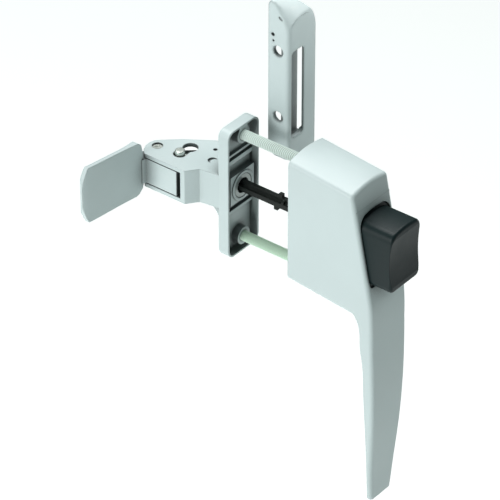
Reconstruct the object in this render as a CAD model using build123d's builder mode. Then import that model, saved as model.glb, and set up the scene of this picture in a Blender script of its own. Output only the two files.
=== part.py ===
"""Screen door handle: an outer push-button pull, two through screws, a push rod,
an inner latch with its paddle, and the strike. Millimetres.

Origin: the push rod's axis where it meets the handle's mounting face.
+X points out of the door towards the button, -X into the house, +Z is up.
"""

from math import atan2, cos, degrees, radians, sin, sqrt, tan

from build123d import *

import os

# Door and fixings
DOOR = 28.575
SCREW_PITCH = 44.45
SCREW_Z = SCREW_PITCH / 2
SCREW_R = 2.08
SCREW_HOLE_R = 2.2

# Outer handle
HALF_W = 10.5
TOP_MID = 28.8
TOP_CROWN = 1.5
BOT_MID = -25.8
BOT_CROWN = 2.8
SLOPE = 0.105
WALL = 1.6
FRONT_TOP = (28.4, 25.5)
FRONT_LOW = (37.4, -19.0)
TIP_Z = -108.5
EDGE_R = 1.6

# Button
TRAVEL = 6.0
OPEN_W = HALF_W - WALL
OPEN_TOP = 15.5
OPEN_BOT = -13.0
BUTTON_FRONT = 45.0
HEAD_TOP = 11.9
HEAD_BOT = -10.5
HEAD_W = OPEN_W - 0.3
WEB_BACK = 12.0
WEB_FRONT = WEB_BACK + 2.0
SKIRT_BACK = WEB_FRONT + TRAVEL + 0.8
SPRING_SEAT = SKIRT_BACK + 11.2
SOCKET_BACK = SPRING_SEAT - 8.0

# Push rod
ROD_R = 2.4
ROD_FRONT = 39.8
ROD_BACK = -DOOR - 2.3
GROOVE = (WEB_BACK - 0.9, WEB_BACK - 0.1)
BARREL_BACK = GROOVE[0] - 5.1

# Escutcheon and inner housing
RIM_X = -DOOR
PLATE_X = RIM_X - 5.1
ESC_W = 8.95
ESC_TOP = 26.5
ESC_BOT = -28.5
ESC_RIM = 1.5
POCKET = 3.0
HOUSE_Z = 7.25
CAVITY_Z = 5.65
NEAR_Y = -14.6
END_WALL_X = -46.5
TUBE_R = 5.5
BORE_R = 4.2
TUBE_END = -42.6
BORE_END = -41.0

# Latch lever
PIVOT = (-62.8, -7.6)
HUB_R = 3.8
LEVER_Z = 5.25
TONGUE_ANGLE = 40.0
TONGUE_HALF = 2.5
TONGUE_Z = 3.3
LEVER_TURN = 18.0
PIN_R = 1.6
PIN_HEAD_R = 2.0
PIN_FLOOR = 6.25
PIN_TOP = PIN_FLOOR + 0.4
KNOB_R = 1.9
KNOB_TOP = 8.9
PADDLE_HIGH = 10.4
PADDLE_LOW = -13.3

# Lock slide
LOCK_FREE = (-53.0, -6.6)
LOCK_ON = (-52.5, -1.1)

# Strike
STRIKE_X = -17.4
STRIKE_Y = 12.0
STRIKE_LOW = 9.0
STRIKE_TOP = 75.6
STRIKE_DEPTH = 9.3
STRIKE_FLANGE = 15.6
STRIKE_T = 1.8
STRIKE_HOLES = (26.0, 54.0)
RETURN_W = 8.0
STRIKE_ROUND = 1.7
WINDOW_W = 7.0
STRIKE_HOLE_X = STRIKE_X - 5.0


def front_x(z):
    """X of the handle's sloping front face at height z."""
    run = (FRONT_LOW[0] - FRONT_TOP[0]) / (FRONT_TOP[1] - FRONT_LOW[1])
    return FRONT_TOP[0] + (FRONT_TOP[1] - z) * run


def at(centre, radius, angle):
    """A point at a polar position round a centre, angle in degrees."""
    a = radians(angle)
    return (centre[0] + radius * cos(a), centre[1] + radius * sin(a))


# The YZ plane seen from the front: local x is +Y, local y is +Z, out is +X.
FACE = Plane(origin=(0, 0, 0), x_dir=(0, 1, 0), z_dir=(1, 0, 0))
# The XZ plane: local x is +X, local y is +Z, out is -Y.
SIDE = Plane(origin=(0, 0, 0), x_dir=(1, 0, 0), z_dir=(0, -1, 0))


def body_outline(inset, top_r, bot_r):
    """Crowned outline of the handle body, drawn in the mounting face."""
    w = HALF_W - inset
    top = TOP_MID - inset
    bot = BOT_MID + inset
    with BuildSketch(FACE) as s:
        with BuildLine():
            ThreePointArc((-w, top - TOP_CROWN), (0, top), (w, top - TOP_CROWN))
            Line((w, top - TOP_CROWN), (w, bot + BOT_CROWN))
            ThreePointArc((w, bot + BOT_CROWN), (0, bot), (-w, bot + BOT_CROWN))
            Line((-w, bot + BOT_CROWN), (-w, top - TOP_CROWN))
        make_face()
        fillet(s.vertices().group_by(Axis.Y)[-1], top_r)
        fillet(s.vertices().group_by(Axis.Y)[0], bot_r)
    return s.sketch


def slab(points, half=HALF_W + 2):
    """A side-view polygon extruded both ways across the handle."""
    with BuildPart() as p:
        with BuildSketch(SIDE):
            with BuildLine():
                Polyline(*points, close=True)
            make_face()
        extrude(amount=half, both=True)
    return p.part


def opening_outline(inset, w=OPEN_W, top=OPEN_TOP, bot=OPEN_BOT, crown=1.2, top_r=4.8, bot_r=1.5):
    """Arched outline of the front opening and of what slides in it."""
    w = w - inset
    top = top - inset
    bot = bot + inset
    with BuildSketch(FACE) as s:
        with BuildLine():
            ThreePointArc((-w, top - crown), (0, top), (w, top - crown))
            Line((w, top - crown), (w, bot))
            Line((w, bot), (-w, bot))
            Line((-w, bot), (-w, top - crown))
        make_face()
        fillet(s.vertices().group_by(Axis.Y)[-1], top_r)
        fillet(s.vertices().group_by(Axis.Y)[0], bot_r)
    return s.sketch


# Outer handle: hollow body
DRIFT = Vector(1, 0, -SLOPE)
body_cut = slab(
    [
        (0, 40),
        (front_x(40), 40),
        (front_x(-18), -18),
        (34.5, -20),
        (34.5, -31),
        (34.5, -45),
        (3.2, -45),
        (3.2, BOT_MID - 0.4),
        (0, BOT_MID + 2.6),
    ]
)
shell = extrude(body_outline(0, 2.0, 2.4), amount=46, dir=DRIFT) & body_cut

# Outer handle: pull lever below the body
lever_front = [(38.4, -39), (38.0, -60), (36.3, -82), (34.3, -100), (33.6, TIP_Z)]
lever_back = [(31.9, TIP_Z + 0.6), (33.6, -76), (33.8, -58.5), (33.4, -43)]
with BuildPart() as pull:
    with BuildSketch(SIDE):
        with BuildLine():
            f = Spline(
                FRONT_LOW,
                *lever_front,
                tangents=[(9.0, -44.5), (-0.8, -8.0)],
                tangent_scalars=[0.6, 1.0],
            )
            Line(f @ 1, lever_back[0])
            b = Spline(*lever_back, tangents=[(1.0, 10.0), (-0.2, 1.0)])
            c = Spline(b @ 1, (32.8, -33.5), (31.2, -27.6), (29.2, -25.2), (26.4, -23.8), tangents=[(-0.2, 1.0), (-1.0, 0.3)])
            Line(c @ 1, (26.0, -14.0))
            Line((26.0, -14.0), (front_x(-14.0), -14.0))
            Line((front_x(-14.0), -14.0), FRONT_LOW)
        make_face()
    extrude(amount=HALF_W + 1, both=True)
    with BuildSketch(FACE):
        with BuildLine():
            right = Spline(
                (HALF_W, -27), (10.35, -35), (10.0, -43), (9.2, -60), (8.2, -77), (7.2, -92), (5.6, -108.5),
                tangents=[(0, -1), (-0.12, -1)],
            )
            left = Spline(
                (-HALF_W, -27), (-10.35, -35), (-10.0, -43), (-9.2, -60), (-8.2, -77), (-7.2, -92), (-5.6, -108.5),
                tangents=[(0, -1), (0.12, -1)],
            )
            Line(right @ 1, left @ 1)
            Polyline(right @ 0, (HALF_W, -10), (-HALF_W, -10), left @ 0)
        make_face()
    extrude(amount=60, mode=Mode.INTERSECT)



def on_front(edge):
    """True for the long edges that frame the handle's front face."""
    middle = edge @ 0.5
    level = abs((edge @ 0).Z - (edge @ 1).Z) < 0.01 and middle.Z < 0
    if middle.Z > FRONT_LOW[1]:
        return middle.X > front_x(middle.Z) - 0.6 and not level
    return middle.X > 34.0 and not level


with BuildPart() as outer_form:
    add(shell)
    add(pull.part)
    fillet([e for e in outer_form.edges() if on_front(e)], EDGE_R)

cavity_cut = slab(
    [
        (-1, 40),
        (front_x(40) - 2.2, 40),
        (front_x(-18) - 2.2, -18),
        (25.0, -28.5),
        (-1, -28.5),
    ]
)
hollow = extrude(body_outline(WALL, 0.6, 1.4), amount=46, dir=DRIFT) & cavity_cut
opening_plug = extrude(Pos(WEB_FRONT, 0, 0) * opening_outline(0), amount=40)
with BuildPart() as handle:
    add(outer_form.part)
    # Cavity, open at the mounting face and kept off the front wall
    add(hollow, mode=Mode.SUBTRACT)
    # Screw bosses standing from the front wall back to the mounting face
    for z in (SCREW_Z, -SCREW_Z):
        with BuildSketch(Plane(origin=(0.4, 0, z), x_dir=(0, 1, 0), z_dir=(1, 0, 0))):
            Circle(3.3)
        extrude(amount=17.6)
    # Web that carries the spring, with its ledges to the front wall
    with Locations(((WEB_BACK + WEB_FRONT) / 2, 0, 0.4)):
        Box(WEB_FRONT - WEB_BACK, 2 * (HALF_W - 0.8), 34.6)
    with Locations(((WEB_BACK + 30) / 2, 0, 17.0)):
        Box(30 - WEB_BACK, 2 * (HALF_W - 0.8), 1.4)
    with Locations(((WEB_BACK + 34) / 2, 0, -14.6)):
        Box(34 - WEB_BACK, 2 * (HALF_W - 0.8), 1.4)
    # Ribs from the ledges to the bosses
    with Locations((20.0, 0, 20.6)):
        Box(12.0, 1.4, 8.0)
    with Locations((22.0, 0, -19.2)):
        Box(16.0, 1.4, 8.4)
    # Front opening, rod hole and screw holes
    add(opening_plug, mode=Mode.SUBTRACT)
    with Locations((WEB_BACK + 1, 0, 0)):
        Cylinder(3.0, 6, rotation=(0, 90, 0), mode=Mode.SUBTRACT)
    for z in (SCREW_Z, -SCREW_Z):
        with Locations((7, 0, z)):
            Cylinder(SCREW_HOLE_R, 18, rotation=(0, 90, 0), mode=Mode.SUBTRACT)
handle.part.label = "outer_handle"

# Push button: a skirt filling the opening, a dished head and the rod socket
BUTTON_GAP = 0.25
skirt_cut = slab(
    [
        (SKIRT_BACK, 30),
        (front_x(30) - 0.5, 30),
        (front_x(-30) - 0.5, -30),
        (SKIRT_BACK, -30),
    ]
)
skirt = extrude(Pos(SKIRT_BACK, 0, 0) * opening_outline(BUTTON_GAP), amount=30) & skirt_cut
head_outline = opening_outline(0, HEAD_W, HEAD_TOP, HEAD_BOT, 1.0, 3.4, 2.2)
head = extrude(Pos(SKIRT_BACK + 4, 0, 0) * head_outline, amount=BUTTON_FRONT - SKIRT_BACK - 4)
core_outline = opening_outline(1.7, HEAD_W, HEAD_TOP, HEAD_BOT, 1.0, 2.0, 1.0)
core = extrude(Pos(SKIRT_BACK - 1, 0, 0) * core_outline, amount=SPRING_SEAT - SKIRT_BACK + 1)
with BuildPart() as button:
    add(skirt)
    add(head)
    front_edges = button.edges().filter_by_position(
        Axis.X, BUTTON_FRONT - 0.01, BUTTON_FRONT + 0.01
    )
    fillet(front_edges, 1.1)
    # Dished thumb face
    with Locations((BUTTON_FRONT + 38.6, 0, 0.7)):
        Cylinder(39.6, 40, rotation=(90, 0, 0), mode=Mode.SUBTRACT)
    add(core, mode=Mode.SUBTRACT)
    with Locations(((SOCKET_BACK + SPRING_SEAT + 1) / 2, 0, 0)):
        Cylinder(3.3, SPRING_SEAT + 1 - SOCKET_BACK, rotation=(0, 90, 0))
    with Locations(((SKIRT_BACK + ROD_FRONT + 0.2) / 2, 0, 0)):
        Cylinder(ROD_R + 0.1, ROD_FRONT + 0.2 - SKIRT_BACK, rotation=(0, 90, 0), mode=Mode.SUBTRACT)
button.part.label = "push_button"

# Push rod: round barrel in the handle, cross-shaped length through the door
with BuildPart() as rod:
    with Locations(((BARREL_BACK + ROD_FRONT) / 2, 0, 0)):
        Cylinder(ROD_R, ROD_FRONT - BARREL_BACK, rotation=(0, 90, 0))
    with Locations(((ROD_BACK + BARREL_BACK) / 2, 0, 0)):
        Box(BARREL_BACK - ROD_BACK + 2, 1.7, 2 * ROD_R)
        Box(BARREL_BACK - ROD_BACK + 2, 2 * ROD_R, 1.7)
        Cylinder(1.5, BARREL_BACK - ROD_BACK + 2, rotation=(0, 90, 0))
    with Locations((ROD_BACK - 5, 0, 0)):
        Box(10, 8, 8, mode=Mode.SUBTRACT)
    # Moulded lugs, the upper one nearer the handle
    with Locations((-11.0, 0, 2.9)):
        Box(1.6, 1.5, 2.0)
    with Locations((-13.2, 0, -2.9)):
        Box(1.6, 1.5, 2.0)
    for x in (-4.0, -9.2):
        with Locations((x, 0, 0)):
            Cylinder(ROD_R, 1.0, rotation=(0, 90, 0))
    # Clip groove
    with BuildSketch(Plane(origin=(GROOVE[0], 0, 0), x_dir=(0, 1, 0), z_dir=(1, 0, 0))):
        Circle(4.0)
        Circle(1.9, mode=Mode.SUBTRACT)
    extrude(amount=GROOVE[1] - GROOVE[0], mode=Mode.SUBTRACT)
rod.part.label = "push_rod"

# Rod clip: open ring in the rod's groove, behind the web
with BuildPart() as clip:
    with BuildSketch(Plane(origin=(GROOVE[0] + 0.1, 0, 0), x_dir=(0, 1, 0), z_dir=(1, 0, 0))):
        Circle(4.4)
        Circle(2.0, mode=Mode.SUBTRACT)
        with Locations((0, -3.4)):
            Rectangle(2.6, 4.4, mode=Mode.SUBTRACT)
        for y in (-2.9, 2.9):
            with Locations((y, 0.6)):
                Circle(0.9, mode=Mode.SUBTRACT)
    extrude(amount=GROOVE[1] - GROOVE[0] - 0.2)
clip.part.label = "rod_clip"


def coil(start_x, end_x, turns, radius, wire, direction):
    """A round-wire helix along X between two seats, wire centres inset."""
    height = (end_x - start_x) - 2 * wire - 0.1
    path = Helix(height / turns, height, radius, center=(0, 0, 0), direction=(0, 0, 1))
    with BuildPart() as p:
        with BuildLine():
            add(path)
        with BuildSketch(Plane(origin=path @ 0, z_dir=path % 0)):
            Circle(wire)
        sweep(is_frenet=True)
    turned = Plane(origin=(start_x + wire + 0.05, 0, 0), x_dir=(0, 1, 0), z_dir=(1, 0, 0))
    return turned.from_local_coords(p.part)


button_spring = coil(WEB_FRONT, SPRING_SEAT, 6, 4.3, 0.4, 1)
button_spring.label = "button_spring"

plunger_spring = coil(BORE_END, RIM_X - 3.925, 5, 3.3, 0.22, 1)
plunger_spring.label = "plunger_spring"


def through_screw(z):
    """Pan-head screw from the escutcheon's inner face into the handle boss."""
    tip = 11.0
    head_tall = 1.9
    with BuildPart() as p:
        with Locations(((PLATE_X + tip) / 2, 0, z)):
            Cylinder(SCREW_R, tip - PLATE_X, rotation=(0, 90, 0))
        with BuildSketch(Plane(origin=(PLATE_X, 0, z), x_dir=(0, 1, 0), z_dir=(-1, 0, 0))):
            Circle(3.4)
        extrude(amount=head_tall)
        head_face = PLATE_X - head_tall
        fillet(p.edges().filter_by_position(Axis.X, head_face - 0.01, head_face + 0.01), 0.9)
        chamfer(p.edges().filter_by_position(Axis.X, tip - 0.01, tip + 0.01), 0.6)
        # Cross recess in the head
        with Locations((head_face, 0, z)):
            Box(2.2, 3.8, 0.9, mode=Mode.SUBTRACT)
            Box(2.2, 0.9, 3.8, mode=Mode.SUBTRACT)
    return p.part


screw_top = through_screw(SCREW_Z)
screw_top.label = "screw_top"
screw_bottom = through_screw(-SCREW_Z)
screw_bottom.label = "screw_bottom"

# Inner housing: hollow escutcheon with the latch box on its house side
ESC_MID = (ESC_TOP + ESC_BOT) / 2
ESC_TALL = ESC_TOP - ESC_BOT


def plan(points, low, high):
    """A plan-view polygon extruded between two heights."""
    with BuildPart() as p:
        with BuildSketch(Plane.XY.offset(low)):
            with BuildLine():
                Polyline(*points, close=True)
            make_face()
        extrude(amount=high - low)
    return p.part


FACET_1 = (-41.0, -10.1)
FACET_2 = (-44.5, NEAR_Y)
hub_near = (PIVOT[0], PIVOT[1] - HUB_R)
cheek = [
    (PLATE_X + 1, -8.9),
    FACET_1,
    FACET_2,
    (PIVOT[0] - 0.6, NEAR_Y),
    (-65.4, -12.4),
    (-66.4, -10.0),
    (-66.5, -7.6),
    (-66.0, -5.6),
    (-64.8, -4.3),
    (-58.0, 1.7),
    (-47.9, 8.5),
    (-44.0, 8.9),
    (PLATE_X + 1, 8.9),
]
near_wall = [
    (PLATE_X + 1, -8.9),
    FACET_1,
    FACET_2,
    (END_WALL_X, NEAR_Y),
    (END_WALL_X, NEAR_Y + 1.9),
    (FACET_2[0] + 0.6, NEAR_Y + 1.9),
    (FACET_1[0] + 0.6, FACET_1[1] + 2.2),
    (PLATE_X + 1, -6.7),
]
upper_cheek = plan(cheek, CAVITY_Z, HOUSE_Z)
lower_cheek = plan(cheek, -HOUSE_Z, -CAVITY_Z)
near_side = plan(near_wall, -HOUSE_Z, HOUSE_Z)
sweep_points = [
    (PLATE_X - 7.5 + 7.5 * sin(radians(a)), -HOUSE_Z - 7.5 + 7.5 * cos(radians(a)))
    for a in range(0, 91, 10)
]
gusset = slab(
    [(PLATE_X + 1, -HOUSE_Z + 1), (PLATE_X - 7.5, -HOUSE_Z + 1)] + sweep_points + [(PLATE_X + 1, -HOUSE_Z - 7.5)],
    half=7.6,
)
with BuildPart() as house:
    with BuildSketch(Plane(origin=(RIM_X, 0, ESC_MID), x_dir=(0, -1, 0), z_dir=(-1, 0, 0))):
        RectangleRounded(2 * ESC_W, ESC_TALL, 3.2)
    extrude(amount=RIM_X - PLATE_X)
    fillet(house.edges().filter_by_position(Axis.X, PLATE_X - 0.01, PLATE_X + 0.01), 1.0)
    with BuildSketch(Plane(origin=(RIM_X, 0, ESC_MID), x_dir=(0, -1, 0), z_dir=(-1, 0, 0))):
        RectangleRounded(2 * (ESC_W - ESC_RIM), ESC_TALL - 2 * ESC_RIM, 1.9)
    extrude(amount=POCKET, mode=Mode.SUBTRACT)
    # Plates, near wall and plunger guide of the latch box
    add(upper_cheek)
    add(lower_cheek)
    add(near_side)
    with Locations(((TUBE_END + PLATE_X) / 2 + 0.5, 0, 0)):
        Cylinder(TUBE_R, PLATE_X - TUBE_END + 1, rotation=(0, 90, 0))
        Box(PLATE_X - TUBE_END + 1, 4.0, 2 * HOUSE_Z)
    # Swept gusset under the box, against the escutcheon
    add(gusset)
    # Raised centre block, collar, bosses and ribs in the pocket
    with Locations((RIM_X - POCKET / 2 - 0.6, 0, 0)):
        Box(POCKET, 13.6, 12.4)
    with Locations((RIM_X - 0.2 - 2, 0, 0)):
        Cylinder(6.0, 4, rotation=(0, 90, 0))
    for z in (SCREW_Z, -SCREW_Z):
        with Locations((RIM_X - 2, 0, z)):
            Cylinder(3.5, 4, rotation=(0, 90, 0))
    # Stiffening bars across the pocket floor
    for z, tall in ((11.4, 1.8), (14.4, 0.9), (-10.2, 1.2)):
        with Locations((RIM_X - POCKET + 0.5, 0, z)):
            Box(1.2, 2 * (ESC_W - ESC_RIM) + 0.4, tall)
    # Bores
    with Locations(((RIM_X + BORE_END) / 2, 0, 0)):
        Cylinder(BORE_R, RIM_X - BORE_END + 0.02, rotation=(0, 90, 0), mode=Mode.SUBTRACT)
    with Locations((RIM_X - 0.6, 0, 0)):
        Cylinder(4.9, 1.2, rotation=(0, 90, 0), mode=Mode.SUBTRACT)
    with Locations((TUBE_END, 0, 0)):
        Cylinder(1.7, 8, rotation=(0, 90, 0), mode=Mode.SUBTRACT)
    for z in (SCREW_Z, -SCREW_Z):
        with Locations((RIM_X - 3, 0, z)):
            Cylinder(SCREW_HOLE_R, 10, rotation=(0, 90, 0), mode=Mode.SUBTRACT)
    # Pivot holes, with a recess for the pin's head in the top plate
    with Locations((PIVOT[0], PIVOT[1], 0)):
        Cylinder(PIN_R + 0.05, 20, mode=Mode.SUBTRACT)
    with Locations((PIVOT[0], PIVOT[1], HOUSE_Z)):
        Cylinder(PIN_HEAD_R + 0.1, 2 * (HOUSE_Z - PIN_FLOOR), mode=Mode.SUBTRACT)
    # Lock slot in the top plate, larger at the far end
    with BuildSketch(Plane.XY.offset(CAVITY_Z - 1)):
        with Locations(LOCK_ON):
            Circle(2.95)
        with Locations(LOCK_FREE):
            Circle(2.5)
        with Locations(((LOCK_ON[0] + LOCK_FREE[0]) / 2, (LOCK_ON[1] + LOCK_FREE[1]) / 2)):
            Rectangle(4.2, 5.5)
    extrude(amount=4, mode=Mode.SUBTRACT)
    # Small hole and half-moon recess near the escutcheon
    with Locations((-44.5, 3.5, HOUSE_Z)):
        Cylinder(0.8, 1.6, mode=Mode.SUBTRACT)
    with BuildSketch(Plane.XY.offset(HOUSE_Z - 0.7)):
        with Locations((-40.9, -2.6)):
            Circle(1.8)
            with Locations((1.25, -0.3)):
                Circle(1.7, mode=Mode.SUBTRACT)
    extrude(amount=2, mode=Mode.SUBTRACT)
house.part.label = "inner_housing"

# Retaining ring pressed in the mouth of the plunger bore
with BuildPart() as ring:
    with BuildSketch(Plane(origin=(RIM_X - 0.3, 0, 0), x_dir=(0, -1, 0), z_dir=(-1, 0, 0))):
        Circle(4.65)
        Circle(3.1, mode=Mode.SUBTRACT)
    extrude(amount=0.8)
ring.part.label = "plunger_ring"

# Plunger: a cup that takes the rod's end, a stem and a round nose
CUP_FRONT = RIM_X - 1.3
CUP_BACK = RIM_X - 3.925
NOSE = -48.8
with BuildPart() as plunger:
    with Locations(((CUP_FRONT + CUP_BACK) / 2, 0, 0)):
        Cylinder(BORE_R - 0.15, CUP_FRONT - CUP_BACK, rotation=(0, 90, 0))
    with Locations(((CUP_BACK + NOSE + 1.5) / 2, 0, 0)):
        Cylinder(1.5, CUP_BACK - NOSE - 1.5, rotation=(0, 90, 0))
    with Locations((NOSE + 1.5, 0, 0)):
        Sphere(1.5)
    with Locations((ROD_BACK - 0.2 + 2, 0, 0)):
        Cylinder(ROD_R + 0.3, 4, rotation=(0, 90, 0), mode=Mode.SUBTRACT)
plunger.part.label = "plunger"

# Latch lever: hub, tongue behind the door edge, near-side block and paddle
tongue_end = at(PIVOT, 35.0, TONGUE_ANGLE)
with BuildPart() as lever:
    with Locations((PIVOT[0], PIVOT[1], 0)):
        Cylinder(HUB_R, 2 * LEVER_Z)
    # Tongue with a chamfered free end
    with BuildSketch(
        Plane(
            origin=(PIVOT[0], PIVOT[1], -TONGUE_Z),
            x_dir=(cos(radians(TONGUE_ANGLE)), sin(radians(TONGUE_ANGLE)), 0),
            z_dir=(0, 0, 1),
        )
    ):
        with BuildLine():
            Polyline(
                (0, -TONGUE_HALF), (33.0, -TONGUE_HALF), (35.0, -0.6), (35.0, TONGUE_HALF),
                (0, TONGUE_HALF), close=True,
            )
        make_face()
    extrude(amount=2 * TONGUE_Z)
    # Lock stop on the tongue's flank, beside the lock shank's path
    for low, tall, reach in ((2.2, 1.1, 8.6), (3.2, 1.2, 6.2)):
        with BuildSketch(Plane.XY.offset(low)):
            with Locations((PIVOT[0] + 12.5, PIVOT[1] + (4.5 + reach) / 2)):
                Rectangle(1.9, reach - 4.5)
        extrude(amount=tall)
    # Near-side block closing the box, and the neck from hub to block
    with BuildSketch(Plane.XY.offset(-LEVER_Z)):
        with BuildLine():
            Polyline(
                (END_WALL_X - 1.8, NEAR_Y), (END_WALL_X - 1.8, NEAR_Y + 2.0), (-58.5, NEAR_Y + 2.0),
                (-60.4, PIVOT[1]), (PIVOT[0] - HUB_R + 0.2, PIVOT[1]),
                (-66.6, -12.0), (-66.6, -15.2), (-62.9, -16.4), (-62.3, NEAR_Y), close=True,
            )
        make_face()
    extrude(amount=2 * LEVER_Z)
    # Paddle: a curved plate, taller towards its tip
    with BuildSketch(Plane.XY.offset(-14)):
        with BuildLine():
            outer = Spline(
                (-63.0, -15.0), (-64.3, -22.0), (-65.6, -31.0), (-66.6, -38.5), (-68.0, -44.4),
                tangents=[(-0.2, -1.0), (-0.5, -1.0)],
            )
            inner = Spline(
                (-69.5, -43.7), (-68.4, -38.7), (-67.4, -31.2), (-66.3, -22.3), (-66.5, -15.0),
                tangents=[(0.35, 1.0), (-0.1, 1.0)],
            )
            Line(outer @ 1, inner @ 0)
            Line(inner @ 1, outer @ 0)
        make_face()
    extrude(amount=28, mode=Mode.ADD)
paddle_side = Plane(origin=(-80, 0, 0), x_dir=(0, -1, 0), z_dir=(1, 0, 0))
with BuildPart() as paddle_trim:
    with BuildSketch(paddle_side):
        with BuildLine():
            Polyline(
                (41.8, PADDLE_LOW), (17.6, PADDLE_LOW + 0.4), (16.4, PADDLE_LOW + 1.4), (15.7, -8.6),
                (15.4, -LEVER_Z - 0.01), (-40, -LEVER_Z - 0.01), (-40, LEVER_Z + 0.01), (15.4, LEVER_Z + 0.01),
                (15.8, 7.2), (17.4, 9.2), (18.8, 9.9), (41.8, PADDLE_HIGH),
            )
            ThreePointArc((41.8, PADDLE_HIGH), (44.7, (PADDLE_HIGH + PADDLE_LOW) / 2), (41.8, PADDLE_LOW))
        make_face()
    extrude(amount=80)
latch_lever = lever.part & paddle_trim.part
with BuildPart() as lever_done:
    add(latch_lever)
    with Locations((PIVOT[0], PIVOT[1], 0)):
        Cylinder(PIN_R + 0.1, 20, mode=Mode.SUBTRACT)
    # Neck under the hub for the return spring
    with BuildSketch(Plane.XY.offset(-LEVER_Z - 0.1)):
        with Locations(PIVOT):
            Circle(4.6)
            Circle(2.4, mode=Mode.SUBTRACT)
    extrude(amount=1.75, mode=Mode.SUBTRACT)
lever_part = lever_done.part
lever_part.label = "latch_lever"

# Pivot pin with a flat head, sunk in the top plate
PIN_FOOT = -HOUSE_Z - 0.2
with BuildPart() as pin:
    with Locations((PIVOT[0], PIVOT[1], (PIN_TOP + PIN_FOOT) / 2)):
        Cylinder(PIN_R, PIN_TOP - PIN_FOOT)
    with Locations((PIVOT[0], PIVOT[1], (PIN_TOP + PIN_FLOOR) / 2)):
        Cylinder(PIN_HEAD_R, PIN_TOP - PIN_FLOOR)
    with Locations((PIVOT[0], PIVOT[1], PIN_TOP)):
        Cylinder(0.9, 0.5, mode=Mode.SUBTRACT)
pin.part.label = "pivot_pin"

# Lever return spring: two turns round the hub's neck and two legs
SPRING_Z = -4.95
with BuildPart() as torsion:
    with BuildLine() as tl:
        h = Helix(0.68, 1.02, 3.2, center=(PIVOT[0], PIVOT[1], SPRING_Z))
    with BuildSketch(Plane(origin=h @ 0, z_dir=h % 0)):
        Circle(0.25)
    sweep(path=h, is_frenet=True)
torsion_leg_start = h @ 0
torsion_leg_end = h @ 1
with BuildPart() as lever_spring:
    add(torsion.part)
    for start, heading, reach in (
        (torsion_leg_start, (0, -1, 0), 2.6),
        (torsion_leg_end, (0, -1, 0), 2.6),
    ):
        with BuildSketch(Plane(origin=start, z_dir=heading)):
            Circle(0.25)
        extrude(amount=reach)
lever_spring_part = lever_spring.part
lever_spring_part.label = "lever_spring"

# Lock pin: knob above the plate, flange under it, shank over the lever
with BuildPart() as lock:
    with Locations((LOCK_FREE[0], LOCK_FREE[1], (5.4 + KNOB_TOP) / 2)):
        Cylinder(KNOB_R, KNOB_TOP - 5.4)
    fillet(lock.edges().filter_by_position(Axis.Z, KNOB_TOP - 0.01, KNOB_TOP + 0.01), 0.5)
    with BuildSketch(Plane.XY.offset(4.6)):
        with Locations(LOCK_FREE):
            Circle(3.2)
        with Locations((LOCK_FREE[0], LOCK_FREE[1] - 2.4 - 2.0)):
            Rectangle(8.0, 4.0, mode=Mode.SUBTRACT)
    extrude(amount=0.9)
    with Locations((LOCK_FREE[0], LOCK_FREE[1], 4.3)):
        Cylinder(1.1, 1.2)
lock.part.label = "lock_pin"

# Strike: a domed keeper, open at its back and far side, with a tall window
STRIKE_BACK = STRIKE_X - STRIKE_DEPTH
STRIKE_FAR = STRIKE_Y + STRIKE_FLANGE
STRIKE_EYE = STRIKE_TOP - 10.5
DOME_RUN = STRIKE_DEPTH * 0.5


def keeper(inset, near_inset, low, top):
    """The keeper's domed block, or the same block drawn in for its hollow."""
    with BuildPart() as p:
        with BuildSketch(Plane.YZ.offset(STRIKE_BACK - inset)):
            with BuildLine():
                Polyline(
                    (STRIKE_Y + near_inset, top), (STRIKE_Y + near_inset, low), (STRIKE_FAR + inset, low),
                    (STRIKE_FAR + inset, top - 15.0),
                )
                RadiusArc((STRIKE_FAR + inset, top - 15.0), (STRIKE_Y + near_inset, top), -17.0)
            make_face()
        extrude(amount=STRIKE_DEPTH - near_inset + inset)
        side = Plane(origin=(0, STRIKE_Y - 20, 0), x_dir=(1, 0, 0), z_dir=(0, -1, 0))
        with BuildSketch(side) as sk:
            with BuildLine():
                Polyline(
                    (STRIKE_X - near_inset, STRIKE_EYE - near_inset), (STRIKE_X - near_inset, low),
                    (STRIKE_BACK - inset, low), (STRIKE_BACK - inset, top),
                    (STRIKE_X - near_inset - DOME_RUN, top),
                )
                TangentArc(
                    (STRIKE_X - near_inset, STRIKE_EYE - near_inset), (STRIKE_X - near_inset - DOME_RUN, top),
                    tangent=(0, 1),
                )
            make_face()
            if inset == 0:
                fillet(sk.vertices().sort_by(Axis.X)[0:2], STRIKE_DEPTH * 0.4)
        extrude(amount=-60, mode=Mode.INTERSECT)
    return p.part


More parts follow.
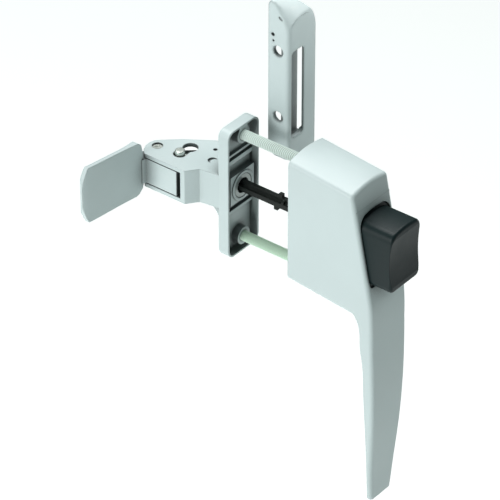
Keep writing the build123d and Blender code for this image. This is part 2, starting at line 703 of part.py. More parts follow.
with BuildPart() as strike_form:
    add(keeper(0, 0, STRIKE_LOW, STRIKE_TOP))
    near_edges = strike_form.edges().filter_by_position(Axis.Y, STRIKE_Y - 0.01, STRIKE_Y + 0.01)
    front_edges = near_edges.filter_by(lambda e: (e @ 0.5).X > STRIKE_X - DOME_RUN)
    fillet(front_edges.filter_by(lambda e: (e @ 0.5).Z > STRIKE_LOW + 1), STRIKE_ROUND)
strike_block = strike_form.part
strike_hollow = keeper(4, STRIKE_T, STRIKE_LOW + 3.0, STRIKE_TOP - 2.2)
with BuildPart() as strike:
    add(strike_block)
    add(strike_hollow, mode=Mode.SUBTRACT)
    # Return wall along the far half of the back
    with Locations((STRIKE_BACK + 0.6, STRIKE_FAR - RETURN_W / 2, (STRIKE_LOW + STRIKE_EYE) / 2)):
        Box(1.2, RETURN_W, STRIKE_EYE - STRIKE_LOW)
    # Window, round-cornered, from above the base to the dome
    with BuildSketch(Plane(origin=(STRIKE_X + 1, 0, 0), x_dir=(0, 1, 0), z_dir=(1, 0, 0))):
        with Locations((STRIKE_Y + STRIKE_ROUND + WINDOW_W / 2, 36.0)):
            RectangleRounded(WINDOW_W, 37.0, 1.4)
    extrude(amount=-3.2, mode=Mode.SUBTRACT)
    # Screw holes with countersinks, pilot holes and a dimple
    for z in STRIKE_HOLES:
        with Locations((STRIKE_HOLE_X, STRIKE_Y, z)):
            Cylinder(2.2, 5, rotation=(90, 0, 0), mode=Mode.SUBTRACT)
            Cone(2.2, 2.8, 0.8, rotation=(90, 0, 0), mode=Mode.SUBTRACT)
    for x, z, r in ((STRIKE_X - 7.0, 58.0, 0.45), (STRIKE_X - 7.2, 60.6, 0.75)):
        with Locations((x, STRIKE_Y, z)):
            Cylinder(r, 6, rotation=(90, 0, 0), mode=Mode.SUBTRACT)
    with Locations((STRIKE_X - 3.8, STRIKE_Y, 71.0)):
        Cylinder(0.9, 0.8, rotation=(90, 0, 0), mode=Mode.SUBTRACT)
strike.part.label = "strike"

os.makedirs("parts", exist_ok=True)
for item in (
    handle.part, button.part, rod.part, clip.part, button_spring, plunger_spring,
    screw_top, screw_bottom, house.part, ring.part, plunger.part, lever_part,
    pin.part, lever_spring_part, lock.part, strike.part,
):
    export_step(item, f"parts/{item.label}.step")
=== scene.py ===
"""Screen door handle: finishes, screw threads, last shapes, light and camera.
Metres, in the frame of the solids: +X out of the door, +Z up."""

import math

import bmesh
import bpy
from mathutils import Matrix, Vector


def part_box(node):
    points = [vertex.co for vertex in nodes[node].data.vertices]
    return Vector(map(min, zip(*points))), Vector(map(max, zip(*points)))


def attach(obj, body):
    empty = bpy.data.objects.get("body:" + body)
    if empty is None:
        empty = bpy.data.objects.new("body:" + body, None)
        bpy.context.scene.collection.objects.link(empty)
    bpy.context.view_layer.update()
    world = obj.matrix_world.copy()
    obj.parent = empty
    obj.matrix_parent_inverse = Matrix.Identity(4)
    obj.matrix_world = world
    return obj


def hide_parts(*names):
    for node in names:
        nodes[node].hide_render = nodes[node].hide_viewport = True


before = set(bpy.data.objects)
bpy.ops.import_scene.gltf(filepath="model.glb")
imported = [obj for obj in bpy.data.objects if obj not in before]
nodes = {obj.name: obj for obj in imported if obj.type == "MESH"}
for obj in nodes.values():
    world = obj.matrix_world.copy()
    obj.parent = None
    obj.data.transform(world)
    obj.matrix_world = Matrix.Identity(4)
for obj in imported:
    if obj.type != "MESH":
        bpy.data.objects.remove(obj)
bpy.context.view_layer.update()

MM = 0.001
MERGE = 0.001 * MM
SHARP_ANGLE = math.radians(30)

# Through screws: where their axes lie, and their thread

SCREW_AXIS = 22.225 * MM
CREST = 2.08 * MM
ROOT = 1.62 * MM
BRIGHT_CREST = 1.90 * MM
PITCH = 0.794 * MM


# Node helpers

MIX_FACTOR = 0
MIX_A = 6
MIX_B = 7
MIX_RESULT = 2


def feed(tree, socket, value):
    """Links a socket to another one, or sets it to a plain value."""
    if isinstance(value, bpy.types.NodeSocket):
        tree.links.new(value, socket)
    else:
        socket.default_value = value


def new_group(name, inputs, outputs):
    """An empty shader group with named sockets: (name, kind, default)."""
    tree = bpy.data.node_groups.new(name, "ShaderNodeTree")
    for label, kind, value in inputs:
        socket = tree.interface.new_socket(label, in_out="INPUT", socket_type=kind)
        socket.default_value = value
    for label, kind in outputs:
        tree.interface.new_socket(label, in_out="OUTPUT", socket_type=kind)
    return tree, tree.nodes.new("NodeGroupInput"), tree.nodes.new("NodeGroupOutput")


def use_group(tree, group):
    """Places a shared group in a material."""
    node = tree.nodes.new("ShaderNodeGroup")
    node.node_tree = group
    return node


def mix_colour(tree, factor, a, b):
    node = tree.nodes.new("ShaderNodeMix")
    node.data_type = "RGBA"
    feed(tree, node.inputs[MIX_FACTOR], factor)
    feed(tree, node.inputs[MIX_A], a)
    feed(tree, node.inputs[MIX_B], b)
    return node.outputs[MIX_RESULT]


def maths(tree, operation, a, b=0.0, clamp=False):
    node = tree.nodes.new("ShaderNodeMath")
    node.operation = operation
    node.use_clamp = clamp
    feed(tree, node.inputs[0], a)
    feed(tree, node.inputs[1], b)
    return node.outputs[0]


def ramp(tree, value, low, high, out_low=0.0, out_high=1.0):
    """A soft step between two inputs."""
    node = tree.nodes.new("ShaderNodeMapRange")
    node.interpolation_type = "SMOOTHSTEP"
    feed(tree, node.inputs["Value"], value)
    feed(tree, node.inputs["From Min"], low)
    feed(tree, node.inputs["From Max"], high)
    feed(tree, node.inputs["To Min"], out_low)
    feed(tree, node.inputs["To Max"], out_high)
    return node.outputs["Result"]


def noise(tree, coords, scale, detail, rough):
    node = tree.nodes.new("ShaderNodeTexNoise")
    feed(tree, node.inputs["Vector"], coords)
    feed(tree, node.inputs["Scale"], scale)
    feed(tree, node.inputs["Detail"], detail)
    feed(tree, node.inputs["Roughness"], rough)
    return node.outputs["Fac"]


def object_coords(tree):
    return tree.nodes.new("ShaderNodeTexCoord").outputs["Object"]


# Shared effects

def surface_group():
    """Fine texture of paint, moulding or plating: a height, and soft clouds."""
    tree, into, out = new_group(
        "surface_texture",
        [
            ("Grain Scale", "NodeSocketFloat", 900.0),
            ("Wave Scale", "NodeSocketFloat", 120.0),
            ("Grain Share", "NodeSocketFloat", 0.5),
        ],
        [("Height", "NodeSocketFloat"), ("Cloud", "NodeSocketFloat")],
    )
    coords = object_coords(tree)
    grain = noise(tree, coords, into.outputs["Grain Scale"], detail=2.0, rough=0.6)
    wave = noise(tree, coords, into.outputs["Wave Scale"], detail=2.0, rough=0.4)
    share = into.outputs["Grain Share"]
    rest = maths(tree, "SUBTRACT", 1.0, share)
    grain_part = maths(tree, "MULTIPLY", grain, share)
    wave_part = maths(tree, "MULTIPLY", wave, rest)
    feed(tree, out.inputs["Height"], maths(tree, "ADD", grain_part, wave_part))
    feed(tree, out.inputs["Cloud"], noise(tree, coords, scale=45.0, detail=4.0, rough=0.55))
    return tree


def edge_group():
    """Rubbed edges, found from the surface's own pointiness and broken up in patches."""
    tree, into, out = new_group(
        "edge_rub",
        [
            ("Start", "NodeSocketFloat", 0.56),
            ("Full", "NodeSocketFloat", 0.7),
            ("Breakup", "NodeSocketFloat", 0.5),
            ("Least", "NodeSocketFloat", 0.3),
        ],
        [("Mask", "NodeSocketFloat")],
    )
    pointed = tree.nodes.new("ShaderNodeNewGeometry").outputs["Pointiness"]
    edge = ramp(tree, pointed, into.outputs["Start"], into.outputs["Full"])
    broken = noise(tree, object_coords(tree), scale=320.0, detail=3.0, rough=0.6)
    patch = ramp(tree, broken, low=0.35, high=0.65)
    patchy = maths(tree, "MULTIPLY", patch, into.outputs["Breakup"])
    soft = maths(tree, "ADD", patchy, into.outputs["Least"], clamp=True)
    feed(tree, out.inputs["Mask"], maths(tree, "MULTIPLY", edge, soft, clamp=True))
    return tree


def thread_group():
    """How far a point of a through screw stands out from its thread's root: the mask for the painted
    shade in the roots.
    """
    tree, into, out = new_group(
        "thread_depth",
        [("Root", "NodeSocketFloat", ROOT), ("Crest", "NodeSocketFloat", BRIGHT_CREST)],
        [("Mask", "NodeSocketFloat")],
    )
    apart = tree.nodes.new("ShaderNodeSeparateXYZ")
    feed(tree, apart.inputs["Vector"], object_coords(tree))
    off_axis = maths(tree, "SUBTRACT", maths(tree, "ABSOLUTE", apart.outputs["Z"]), SCREW_AXIS)
    up_square = maths(tree, "POWER", maths(tree, "ABSOLUTE", off_axis), 2.0)
    side_square = maths(tree, "POWER", maths(tree, "ABSOLUTE", apart.outputs["Y"]), 2.0)
    radius = maths(tree, "SQRT", maths(tree, "ADD", up_square, side_square))
    feed(tree, out.inputs["Mask"], ramp(tree, radius, into.outputs["Root"], into.outputs["Crest"]))
    return tree


SURFACE = surface_group()
EDGES = edge_group()
THREAD = thread_group()


# Finishes

DARK_CLOUD = 0.3
PALE_CLOUD = 0.7
SMOOTH_CLOUD = 0.25
ROUGH_CLOUD = 0.75
BUMP_DEPTH = 0.4 * MM
DEEP_HOLLOW = 0.46
OPEN_SURFACE = 0.95
# Painted shade: the share of the colour that is left in the deepest hollows.
HOLLOW_SHADE = 0.12
HOLLOW_SAMPLES = 8
CORNER_SAMPLES = 6


def scaled(colour, share):
    return [part * share for part in colour] + [1.0]


def finish(name, colour, roughness, bump, grain, wave, share, cloud_dark, round_mm, metallic=0.0,
           rub=None, rub_amount=0.0, specular=0.5, rough_swing=0.08, hollow=0.0, hollow_mm=12.0,
           thread=0.0):
    """A finish with its own texture, clouds, rubbed edges, softened corners and painted shade in its
    hollows.
    """
    material = bpy.data.materials.new(name)
    material.use_nodes = True
    tree = material.node_tree
    shader = tree.nodes["Principled BSDF"]
    texture = use_group(tree, SURFACE)
    texture.inputs["Grain Scale"].default_value = grain
    texture.inputs["Wave Scale"].default_value = wave
    texture.inputs["Grain Share"].default_value = share
    cloud = texture.outputs["Cloud"]
    pale = ramp(tree, cloud, DARK_CLOUD, PALE_CLOUD)
    base = mix_colour(tree, pale, scaled(colour, cloud_dark), scaled(colour, 1.0))
    if rub:
        rubbed = maths(tree, "MULTIPLY", use_group(tree, EDGES).outputs["Mask"], rub_amount)
        base = mix_colour(tree, rubbed, base, scaled(rub, 1.0))
    # Painted shade: the thread's roots are darkened in the base colour, fading out towards the crests.
    if thread:
        raised = use_group(tree, THREAD).outputs["Mask"]
        base = mix_colour(tree, raised, scaled(colour, 1.0 - thread), base)
    # Painted shade: the ambient occlusion node darkens the base colour in hollows, recesses and between
    # parts.
    if hollow:
        shade = tree.nodes.new("ShaderNodeAmbientOcclusion")
        shade.samples = HOLLOW_SAMPLES
        shade.inputs["Distance"].default_value = hollow_mm * MM
        deep = ramp(tree, shade.outputs["AO"], DEEP_HOLLOW, OPEN_SURFACE, hollow, 0.0)
        base = mix_colour(tree, deep, base, scaled(colour, HOLLOW_SHADE))
    feed(tree, shader.inputs["Base Color"], base)
    low = roughness - rough_swing
    high = roughness + rough_swing
    feed(tree, shader.inputs["Roughness"], ramp(tree, cloud, SMOOTH_CLOUD, ROUGH_CLOUD, low, high))
    shader.inputs["Metallic"].default_value = metallic
    shader.inputs["Specular IOR Level"].default_value = specular
    relief = tree.nodes.new("ShaderNodeBump")
    relief.inputs["Strength"].default_value = bump
    relief.inputs["Distance"].default_value = BUMP_DEPTH
    feed(tree, relief.inputs["Height"], texture.outputs["Height"])
    if round_mm:
        corner = tree.nodes.new("ShaderNodeBevel")
        corner.samples = CORNER_SAMPLES
        corner.inputs["Radius"].default_value = round_mm * MM
        feed(tree, relief.inputs["Normal"], corner.outputs["Normal"])
    feed(tree, shader.inputs["Normal"], relief.outputs["Normal"])
    return material


PAINT = finish(
    "grey_casting_paint", (0.60, 0.70, 0.70), 0.42, bump=0.05, grain=1100.0, wave=170.0, share=0.35,
    cloud_dark=0.965, rub=(0.74, 0.79, 0.78), rub_amount=0.35, round_mm=0.55, hollow=0.95,
)
# The strike's paint: the casting paint with softer corners and a slightly lighter colour, painted light
# that brightens the strike.
LIGHTER_SOFT_PAINT = finish(
    "soft_cornered_lighter_paint", (0.62, 0.72, 0.72), 0.42, bump=0.05, grain=1100.0, wave=170.0, share=0.35,
    cloud_dark=0.965, rub=(0.74, 0.79, 0.78), rub_amount=0.35, round_mm=1.6, hollow=0.95,
)
MOULDING = finish(
    "black_moulding", (0.007, 0.018, 0.019), 0.42, bump=0.10, grain=2600.0, wave=500.0, share=0.8,
    cloud_dark=0.85, rub=(0.05, 0.065, 0.065), rub_amount=0.5, round_mm=0.3, specular=0.22,
)
ROD = finish(
    "black_rod", (0.006, 0.010, 0.008), 0.5, bump=0.12, grain=2600.0, wave=500.0, share=0.8,
    cloud_dark=0.8, round_mm=0.15, specular=0.25,
)
ZINC = finish(
    "bright_zinc", (0.70, 0.75, 0.70), 0.3, metallic=1.0, bump=0.05, grain=3000.0, wave=700.0,
    share=0.5, cloud_dark=0.85, round_mm=0.12, rough_swing=0.1,
)
THREAD_ZINC = finish(
    "bright_zinc_thread", (0.87, 1.0, 0.94), 0.34, metallic=0.04, bump=0.05, grain=3000.0, wave=700.0,
    share=0.5, cloud_dark=0.97, round_mm=0.0, rough_swing=0.1, thread=0.9,
)
CHROMATE = finish(
    "yellow_green_chromate", (0.76, 1.0, 0.80), 0.34, metallic=0.04, bump=0.05, grain=3000.0, wave=700.0,
    share=0.5, cloud_dark=0.9, round_mm=0.0, rough_swing=0.1, thread=0.9,
)
GREY_PLATE = finish(
    "dull_grey_plate", (0.42, 0.47, 0.46), 0.4, metallic=0.5, bump=0.06, grain=3000.0, wave=700.0,
    share=0.5, cloud_dark=0.8, round_mm=0.1, rough_swing=0.1, hollow=0.5, hollow_mm=2.0,
)
WIRE = finish(
    "drawn_wire", (0.36, 0.37, 0.38), 0.35, metallic=1.0, bump=0.05, grain=4000.0, wave=900.0,
    share=0.6, cloud_dark=0.8, round_mm=0.0,
)

FINISHES = {
    "outer_handle": PAINT,
    "inner_housing": PAINT,
    "latch_lever": PAINT,
    "strike": LIGHTER_SOFT_PAINT,
    "push_button": MOULDING,
    "push_rod": ROD,
    "plunger": MOULDING,
    "plunger_ring": GREY_PLATE,
    "rod_clip": ZINC,
    "pivot_pin": ZINC,
    "lock_pin": ZINC,
    "screw_top": ZINC,
    "screw_bottom": CHROMATE,
    "button_spring": WIRE,
    "plunger_spring": WIRE,
    "lever_spring": WIRE,
}
for name, material in FINISHES.items():
    mesh = nodes[name].data
    mesh.materials.clear()
    mesh.materials.append(material)


# Mesh helpers

def working_copy(node, ending):
    """A copy of a solid's mesh, as a piece at the origin that takes the solid's place."""
    piece = bpy.data.objects.new(node + ending, nodes[node].data.copy())
    bpy.context.scene.collection.objects.link(piece)
    return piece


def merged_bmesh(mesh):
    """A solid's loose triangles, joined at their corners."""
    bm = bmesh.new()
    bm.from_mesh(mesh)
    bmesh.ops.remove_doubles(bm, verts=bm.verts, dist=MERGE)
    return bm


def smooth_with_sharp_edges(mesh):
    for face in mesh.polygons:
        face.use_smooth = True
    mesh.update()
    mesh.set_sharp_from_angle(angle=SHARP_ANGLE)


def evaluated_mesh(carrier):
    """The plain mesh that a carrier's modifiers make."""
    bpy.context.view_layer.update()
    graph = bpy.context.evaluated_depsgraph_get()
    return bpy.data.meshes.new_from_object(carrier.evaluated_get(graph))


# Through screws: a slimmer head, a thinner core and a rolled thread

HEAD_TALL = 1.9 * MM
HEAD_SLIM = 0.86
HEAD_LOW = 0.65
SEAT_TOUCH = 0.02 * MM
USUAL_LENGTH = 40.0 * MM
THREAD_START = 0.2 * MM
THREAD_SHORT = 1.2 * MM
TURN_STEPS = 18
RIDGE_SIDES = 4


def thread_tree(material):
    """A helical ridge from named sizes, by Geometry Nodes."""
    tree = bpy.data.node_groups.new("rolled_thread", "GeometryNodeTree")
    tree.interface.new_socket("Geometry", in_out="INPUT", socket_type="NodeSocketGeometry")
    tree.interface.new_socket("Geometry", in_out="OUTPUT", socket_type="NodeSocketGeometry")
    usual = {"Length": USUAL_LENGTH, "Pitch": PITCH, "Core Radius": ROOT, "Ridge": CREST - ROOT}
    sizes = {}
    for label, value in usual.items():
        socket = tree.interface.new_socket(label, in_out="INPUT", socket_type="NodeSocketFloat")
        socket.default_value = value
        sizes[label] = socket.identifier
    into = tree.nodes.new("NodeGroupInput")
    out = tree.nodes.new("NodeGroupOutput")
    spiral = tree.nodes.new("GeometryNodeCurveSpiral")
    turns = maths(tree, "DIVIDE", into.outputs["Length"], into.outputs["Pitch"])
    feed(tree, spiral.inputs["Rotations"], turns)
    feed(tree, spiral.inputs["Resolution"], TURN_STEPS)
    feed(tree, spiral.inputs["Start Radius"], into.outputs["Core Radius"])
    feed(tree, spiral.inputs["End Radius"], into.outputs["Core Radius"])
    feed(tree, spiral.inputs["Height"], into.outputs["Length"])
    upright = tree.nodes.new("GeometryNodeSetCurveNormal")
    upright.mode = "Z_UP"
    feed(tree, upright.inputs["Curve"], spiral.outputs["Curve"])
    section = tree.nodes.new("GeometryNodeCurvePrimitiveCircle")
    section.mode = "RADIUS"
    feed(tree, section.inputs["Resolution"], RIDGE_SIDES)
    feed(tree, section.inputs["Radius"], into.outputs["Ridge"])
    sweep = tree.nodes.new("GeometryNodeCurveToMesh")
    feed(tree, sweep.inputs["Curve"], upright.outputs["Curve"])
    feed(tree, sweep.inputs["Profile Curve"], section.outputs["Curve"])
    sweep.inputs["Fill Caps"].default_value = True
    real = tree.nodes.new("GeometryNodeRealizeInstances")
    feed(tree, real.inputs["Geometry"], sweep.outputs["Mesh"])
    plating = tree.nodes.new("GeometryNodeSetMaterial")
    plating.inputs["Material"].default_value = material
    feed(tree, plating.inputs["Geometry"], real.outputs["Geometry"])
    feed(tree, out.inputs["Geometry"], plating.outputs["Geometry"])
    return tree, sizes


def thread_mesh(length, material):
    carrier = bpy.data.objects.new("thread_carrier", bpy.data.meshes.new("thread_carrier"))
    bpy.context.scene.collection.objects.link(carrier)
    tree, sizes = thread_tree(material)
    winding = carrier.modifiers.new("thread", "NODES")
    winding.node_group = tree
    winding[sizes["Length"]] = length
    made = evaluated_mesh(carrier)
    bpy.data.objects.remove(carrier)
    return made


def threaded_screw(node, material):
    """A screw's solid with a slimmer head and core, and its thread wound round it."""
    low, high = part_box(node)
    axis_z = (low[2] + high[2]) / 2
    seat = low[0] + HEAD_TALL
    piece = working_copy(node, "_threaded")
    bm = merged_bmesh(piece.data)
    for v in bm.verts:
        if v.co.x > seat + SEAT_TOUCH:
            slim = ROOT / CREST
        else:
            slim = HEAD_SLIM
            v.co.x = seat + (v.co.x - seat) * HEAD_LOW
        v.co.y *= slim
        v.co.z = axis_z + (v.co.z - axis_z) * slim
    threads = thread_mesh(high[0] - seat - THREAD_SHORT, material)
    along_x = Matrix.Rotation(math.pi / 2, 4, "Y")
    threads.transform(Matrix.Translation((seat + THREAD_START, 0, axis_z)) @ along_x)
    bm.from_mesh(threads)
    bm.to_mesh(piece.data)
    bm.free()
    piece.data.materials.clear()
    piece.data.materials.append(material)
    for face in piece.data.polygons:
        face.material_index = 0
    smooth_with_sharp_edges(piece.data)
    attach(piece, "frame")
    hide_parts(node)
    return piece


upper = threaded_screw("screw_top", THREAD_ZINC)
lower = threaded_screw("screw_bottom", CHROMATE)


# Outer handle: the pull reaches a little lower, wider and further forward towards its tip

PULL_START = -34.0 * MM
PULL_LONG = 74.5 * MM
TIP_FORWARD = 2.9 * MM
TIP_LOWER = 2.4 * MM
TIP_WIDER = 0.13
WIDER_POWER = 0.6
EASE = 0.12


def reaching_pull(node):
    piece = working_copy(node, "_shaped")
    for v in piece.data.vertices:
        share = (PULL_START - v.co.z) / PULL_LONG
        if share <= 0:
            continue
        eased = (1 + EASE) * share * share / (share + EASE)
        v.co.x += TIP_FORWARD * eased
        v.co.y *= 1 + TIP_WIDER * share ** WIDER_POWER
        v.co.z -= TIP_LOWER * eased
    piece.data.update()
    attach(piece, "frame")
    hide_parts(node)


reaching_pull("outer_handle")


# Escutcheon: the pocket's walls have draft, so the rim shows thin

RIM_X = -28.575 * MM
POCKET_Y = 7.45 * MM
POCKET_TOP = 25.0 * MM
POCKET_BOTTOM = -27.0 * MM
POCKET_CORNER = 1.9 * MM
RIM_DRAFT = 0.85 * MM
RIM_TOUCH = 0.05 * MM
OUTLINE_TOUCH = 0.04 * MM


def drafted_rim(node):
    """Moves the pocket's mouth outwards, square to its rounded outline."""
    piece = working_copy(node, "_shaped")
    straight_y = POCKET_Y - POCKET_CORNER
    straight_z = (POCKET_TOP - POCKET_BOTTOM) / 2 - POCKET_CORNER
    middle_z = (POCKET_TOP + POCKET_BOTTOM) / 2
    for v in piece.data.vertices:
        from_y = max(abs(v.co.y) - straight_y, 0.0)
        from_z = max(abs(v.co.z - middle_z) - straight_z, 0.0)
        reach = math.hypot(from_y, from_z)
        if abs(v.co.x - RIM_X) > RIM_TOUCH or abs(reach - POCKET_CORNER) > OUTLINE_TOUCH:
            continue
        v.co.y += math.copysign(RIM_DRAFT * from_y / reach, v.co.y)
        v.co.z += math.copysign(RIM_DRAFT * from_z / reach, v.co.z - middle_z)
    piece.data.update()
    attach(piece, "frame")
    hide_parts(node)


drafted_rim("inner_housing")


# Push button: the head stands a little taller than the solid's, still inside the skirt's outline

BUTTON_HEAD_TOP = 11.9 * MM
BUTTON_HEAD_BOTTOM = -10.5 * MM
BUTTON_HEAD_SIDE = 8.62 * MM
BUTTON_SLACK = 0.02 * MM
HEAD_RISE = 1.8 * MM
HEAD_FALL = 1.5 * MM
SKIRT_FACE = 33.05 * MM
SKIRT_LEAN = 0.2
SKIRT_CORNER_Y = 8.33 * MM
SKIRT_CORNER_Z = 9.95 * MM
FACE_TOUCH = 0.08 * MM
SPRING_SEAT = 32.0 * MM
SPRING_SLACK = 0.05 * MM
SOCKET_END = 40.1 * MM
SOCKET_SIDE = 7.0 * MM
SOCKET_LOW = -9.0 * MM
SOCKET_HIGH = 10.3 * MM


def from_skirt(place):
    """How far a point lies in front of the skirt's leaning face."""
    return place.x - (SKIRT_FACE - SKIRT_LEAN * place.z)


def at_head_foot(place):
    """Whether a point lies where the head stands on the skirt's face."""
    level = BUTTON_HEAD_BOTTOM - BUTTON_SLACK < place.z < BUTTON_HEAD_TOP + BUTTON_SLACK
    skirt_corner = place.z > SKIRT_CORNER_Z and abs(place.y) > SKIRT_CORNER_Y
    inside = level and abs(place.y) < BUTTON_HEAD_SIDE and not skirt_corner
    return inside and abs(from_skirt(place)) < FACE_TOUCH


def in_spring_pocket(place):
    """Whether a point belongs to the spring's pocket or the rod's socket."""
    level = SOCKET_LOW < place.z < SOCKET_HIGH
    return level and abs(place.y) < SOCKET_SIDE and place.x < SOCKET_END


def taller_button(node):
    piece = working_copy(node, "_shaped")
    for v in piece.data.vertices:
        foot = at_head_foot(v.co)
        behind = from_skirt(v.co) < FACE_TOUCH or v.co.x < SPRING_SEAT + SPRING_SLACK
        if in_spring_pocket(v.co) or (behind and not foot):
            continue
        if v.co.z > 0:
            grow = HEAD_RISE * v.co.z / BUTTON_HEAD_TOP
        else:
            grow = HEAD_FALL * v.co.z / -BUTTON_HEAD_BOTTOM
        v.co.z += grow
        if foot:
            v.co.x -= SKIRT_LEAN * grow
    piece.data.update()
    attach(piece, "button")
    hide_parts(node)


taller_button("push_button")


# Strike: its top slopes down to the front, and the window's far wall has draft

strike_low, strike_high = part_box("strike")
STRIKE_BACK = strike_low[0]
STRIKE_FRONT = strike_high[0]
STRIKE_DEEP = STRIKE_FRONT - STRIKE_BACK
STRIKE_NEAR = strike_low[1]
STRIKE_TOP = strike_high[2]
DOME_FOOT = STRIKE_TOP - 15.6 * MM
DOME_EYE = STRIKE_TOP - 10.5 * MM
DOME_RUN = STRIKE_DEEP / 2
DOME_R = (DOME_RUN ** 2 + (STRIKE_TOP - DOME_EYE) ** 2) / (2 * DOME_RUN)
FOOT_GAP = 0.1 * MM
SLOPE_DROP = 8.0 * MM
SLOPE_POWER = 1.3
CORNER_DROP = 3.4 * MM
CORNER_R = 6.5 * MM
FAR_R = 17.0 * MM
FAR_MIDDLE_Y = STRIKE_NEAR - 1.29 * MM
FAR_MIDDLE_Z = STRIKE_TOP - 16.95 * MM
DEPTH_CUTS = 12
LEVEL_CUTS = 10
LEVEL_STEP = 1.4 * MM
SIDE_CUTS = 8
SIDE_STEP = 0.9 * MM
WINDOW_FAR = STRIKE_NEAR + 8.7 * MM
WINDOW_TOUCH = 0.06 * MM
WINDOW_DRAFT = 1.4 * MM
DRAFT_START = 1.0 * MM
DRAFT_END = 3.3 * MM


def dome_height(x):
    """The solid's own top at a depth: an arc up from the front, then level."""
    run = min(max(STRIKE_FRONT - x, 0.0), DOME_RUN)
    return DOME_EYE + math.sqrt(DOME_R ** 2 - (DOME_R - run) ** 2)


def far_height(y):
    """The arc that rounds the top off towards the far side."""
    return FAR_MIDDLE_Z + math.sqrt(max(FAR_R ** 2 - (y - FAR_MIDDLE_Y) ** 2, 0.0))


def slope_height(x, y):
    """The sloping top, rounded down at its front near corner."""
    share = min(max((STRIKE_FRONT - x) / STRIKE_DEEP, 0.0), 1.0)
    along = max(1 - (STRIKE_FRONT - x) / CORNER_R, 0.0)
    across = max(1 - (y - STRIKE_NEAR) / CORNER_R, 0.0)
    slope = SLOPE_DROP * (1 - share) ** SLOPE_POWER
    return STRIKE_TOP - slope - CORNER_DROP * along ** 2 * across ** 2


def cut_strike(bm):
    """Level, depth and side cuts, so that the top can bend."""
    cuts = [((STRIKE_BACK + STRIKE_DEEP * i / DEPTH_CUTS, 0, 0), (1, 0, 0)) for i in range(1, DEPTH_CUTS)]
    cuts += [((0, 0, DOME_FOOT + LEVEL_STEP * i), (0, 0, 1)) for i in range(LEVEL_CUTS)]
    cuts += [((0, STRIKE_NEAR + SIDE_STEP * i, 0), (0, 1, 0)) for i in range(1, SIDE_CUTS + 1)]
    for place, facing in cuts:
        everything = [*bm.verts, *bm.edges, *bm.faces]
        bmesh.ops.bisect_plane(bm, geom=everything, plane_co=place, plane_no=facing, dist=MERGE)


def on_window_far_wall(place):
    depth = STRIKE_FRONT - place.x
    return abs(place.y - WINDOW_FAR) < WINDOW_TOUCH and DRAFT_START < depth < DRAFT_END


def sloping_strike(node):
    piece = working_copy(node, "_shaped")
    bm = merged_bmesh(piece.data)
    cut_strike(bm)
    for v in bm.verts:
        if on_window_far_wall(v.co):
            v.co.y += WINDOW_DRAFT
        if v.co.z > DOME_FOOT:
            far = max(far_height(v.co.y), DOME_FOOT + FOOT_GAP)
            share = (v.co.z - DOME_FOOT) / (min(dome_height(v.co.x), far) - DOME_FOOT)
            v.co.z = DOME_FOOT + share * (min(slope_height(v.co.x, v.co.y), far) - DOME_FOOT)
    bm.to_mesh(piece.data)
    bm.free()
    smooth_with_sharp_edges(piece.data)
    weighting = piece.modifiers.new("weighting", "WEIGHTED_NORMAL")
    weighting.keep_sharp = True
    made = evaluated_mesh(piece)
    piece.modifiers.remove(weighting)
    piece.data = made
    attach(piece, "frame")
    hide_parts(node)


sloping_strike("strike")


# Floor and surrounding light

FLOOR_Z = -0.42
FLOOR_WIDE = 8.0
FLOOR_COLOUR = (0.93, 0.93, 0.93, 1)
FLOOR_GLOW = (0.94, 1.0, 0.98, 1)
STUDIO_COLOUR = (0.82, 1.0, 0.97, 1)

bpy.ops.mesh.primitive_plane_add(size=FLOOR_WIDE, location=(0, 0, FLOOR_Z))
floor = bpy.context.object
floor.name = "pale_floor"
pale = bpy.data.materials.new("pale_floor")
pale.use_nodes = True
pale_shader = pale.node_tree.nodes["Principled BSDF"]
pale_shader.inputs["Base Color"].default_value = FLOOR_COLOUR
pale_shader.inputs["Roughness"].default_value = 0.9
pale_shader.inputs["Emission Color"].default_value = FLOOR_GLOW
pale_shader.inputs["Emission Strength"].default_value = 0.47
floor.data.materials.append(pale)

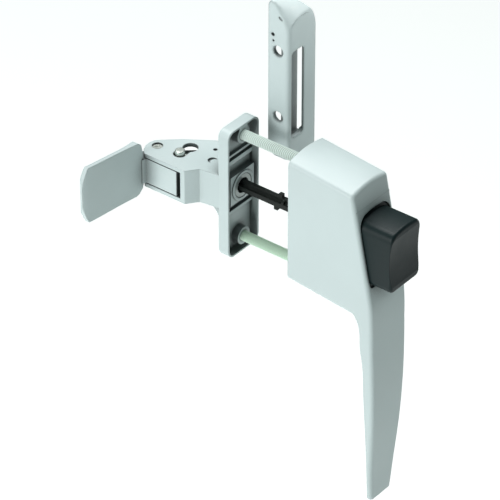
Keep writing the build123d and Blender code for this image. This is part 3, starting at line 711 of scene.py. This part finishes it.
world = bpy.data.worlds.new("studio")
bpy.context.scene.world = world
world.use_nodes = True
surround = world.node_tree.nodes["Background"]
surround.inputs["Color"].default_value = STUDIO_COLOUR
surround.inputs["Strength"].default_value = 0.12


# Soft lights

def softbox(name, place, aim, size, power):
    """A square area light at a place, turned towards what it lights."""
    data = bpy.data.lights.new(name, "AREA")
    data.shape = "SQUARE"
    data.size = size
    data.energy = power
    light = bpy.data.objects.new(name, data)
    bpy.context.scene.collection.objects.link(light)
    place = Vector(place)
    light.location = place
    light.rotation_euler = (Vector(aim) - place).to_track_quat("-Z", "Y").to_euler()
    return light


softbox("key", place=(-0.28, -1.32, 0.35), aim=(0, 0, 0), size=0.6, power=11.0)
softbox("overhead", place=(-0.40, 0.15, 0.95), aim=(-0.12, 0.1, 0), size=0.75, power=10.0)
card = softbox(
    "strike_card", place=(0.020, 0.070, 0.130), aim=(-0.018, 0.018, 0.055), size=0.04, power=0.055,
)
card.visible_camera = False


# Camera

AZIMUTH = math.radians(38.30)
ELEVATION = math.radians(35.14)
FOCAL_PX = 4000.0
FRAME_PX = 500.0
SENSOR = 36.0
ORIGIN_IN_VIEW = Vector((20.1, 13.4, 1443.6)) * MM

lens = bpy.data.cameras.new("view")
lens.sensor_fit = "HORIZONTAL"
lens.sensor_width = SENSOR
lens.lens = FOCAL_PX / FRAME_PX * SENSOR
lens.clip_start = 0.05
lens.clip_end = 20.0
camera = bpy.data.objects.new("view", lens)
bpy.context.scene.collection.objects.link(camera)
flat = math.cos(ELEVATION)
right = Vector((math.cos(AZIMUTH), math.sin(AZIMUTH), 0))
ahead = Vector((-math.sin(AZIMUTH) * flat, math.cos(AZIMUTH) * flat, -math.sin(ELEVATION)))
up = right.cross(ahead)
place = -(right * ORIGIN_IN_VIEW.x + up * ORIGIN_IN_VIEW.y + ahead * ORIGIN_IN_VIEW.z)
turn = Matrix((right, up, -ahead)).transposed().to_4x4()
camera.matrix_world = Matrix.Translation(place) @ turn
bpy.context.scene.camera = camera
bpy.context.scene.view_settings.view_transform = "Standard"
